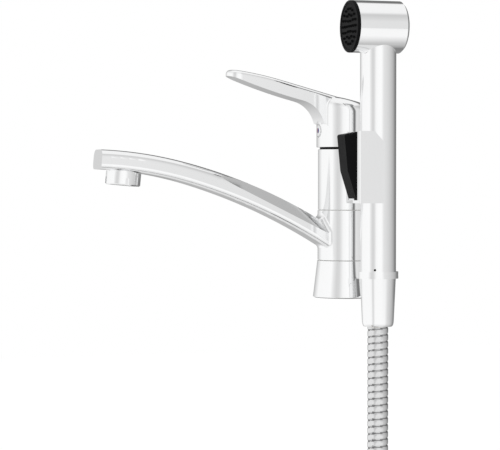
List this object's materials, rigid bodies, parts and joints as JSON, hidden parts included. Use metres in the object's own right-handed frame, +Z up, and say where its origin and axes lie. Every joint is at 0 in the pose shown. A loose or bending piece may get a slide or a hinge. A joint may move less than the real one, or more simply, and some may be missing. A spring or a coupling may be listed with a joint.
{
  "type": "single-lever kitchen tap with side spray",
  "caption": "Low single-lever deck tap with a long rising swivel spout, and a trigger hand spray with a round head standing beside it on a ribbed metal hose.",
  "frame": {"origin": "mouth of the fixing stud hole, on the deck plane at the tap's axis", "axes": "+Z up along the tap's axis, -X the way the spout and lever point, -Y the side where the hand spray stands"},
  "size_m": [0.2249, 0.1516, 0.5292],
  "materials": {
    "chrome": "polished chrome plate",
    "body_chrome": "polished chrome plate on cast brass",
    "hose_metal": "bright spiral-wound metal",
    "brass": "turned",
    "steel": "plain",
    "ceramic": "lapped ceramic",
    "black_plastic": "matt moulded",
    "black_ring": "matt moulded",
    "rubber": "moulded",
    "tie": "soft strap",
    "white_plastic": "moulded",
    "mark": "inlaid plug, half blue and half red"
  },
  "bodies": {
    "tap": {"base_gasket": "rubber", "foot_ring": "chrome", "valve_body": "body_chrome", "spout_o_ring_lower": "rubber", "spout_o_ring_upper": "rubber", "glide_ring_lower": "white_plastic", "glide_ring_upper": "white_plastic", "cartridge_seal": "rubber", "cartridge_base": "white_plastic", "cartridge_housing": "white_plastic", "fixed_ceramic_disc": "ceramic", "cartridge_nut": "brass", "dome_ring": "black_ring", "spray_bracket": "chrome", "spray_shell": "chrome", "spray_collar": "chrome", "collar_screw": "black_ring", "spray_face": "black_plastic", "spray_face_rim": "black_plastic", "flow_plate": "white_plastic", "trigger_pin": "steel", "valve_gland": "white_plastic", "hose_cone_nut": "chrome", "hose_washer": "rubber", "hose_ferrule": "brass", "hose_drop": "hose_metal", "hose_coil": "hose_metal", "hose_tie": "tie", "hose_end_sleeve": "brass", "hose_end_nut": "brass"},
    "spout": {"spout": "chrome", "aerator_shell": "chrome", "aerator_insert": "white_plastic", "aerator_washer": "rubber"},
    "rotor": {"cartridge_rotor": "white_plastic", "spindle_pin": "steel"},
    "lever": {"lever_handle": "chrome", "lever_spindle": "steel", "lever_grub_screw": "steel", "temperature_mark": "mark"},
    "disc": {"moving_ceramic_disc": "ceramic", "disc_carrier": "white_plastic"},
    "trigger": {"trigger": "black_plastic"},
    "plunger": {"valve_plunger": "steel", "valve_seal": "rubber"}
  },
  "joints": [
    {"name": "spout_swivel", "type": "hinge", "parent": "tap", "child": "spout", "pos_m": [0, 0, 0.048], "axis": [0, 0, 1], "range_deg": [-60, 30]},
    {"name": "lever_turn", "type": "hinge", "parent": "tap", "child": "rotor", "pos_m": [0, 0, 0.096], "axis": [0, 0, 1], "range_deg": [-45, 45]},
    {"name": "lever_lift", "type": "hinge", "parent": "rotor", "child": "lever", "pos_m": [0, 0, 0.096], "axis": [0, 1, 0], "range_deg": [0, 20]},
    {"name": "disc_slide", "type": "slide", "parent": "rotor", "child": "disc", "axis": [-1, 0, 0], "range_m": [0, 0.0032]},
    {"name": "trigger_press", "type": "hinge", "parent": "tap", "child": "trigger", "pos_m": [-0.0142, -0.0675, 0.1236], "axis": [0, -1, 0], "range_deg": [0, 6], "stiffness_Nm_per_rad": 0.4, "springref_deg": -3.44},
    {"name": "valve_slide", "type": "slide", "parent": "tap", "child": "plunger", "axis": [1, 0, 0], "range_m": [0, 0.003]}
  ],
  "couplings": [
    {"joint": "disc_slide", "follows": "lever_lift", "m_per_rad": 0.0088},
    {"joint": "valve_slide", "follows": "trigger_press", "m_per_rad": 0.02695}
  ]
}
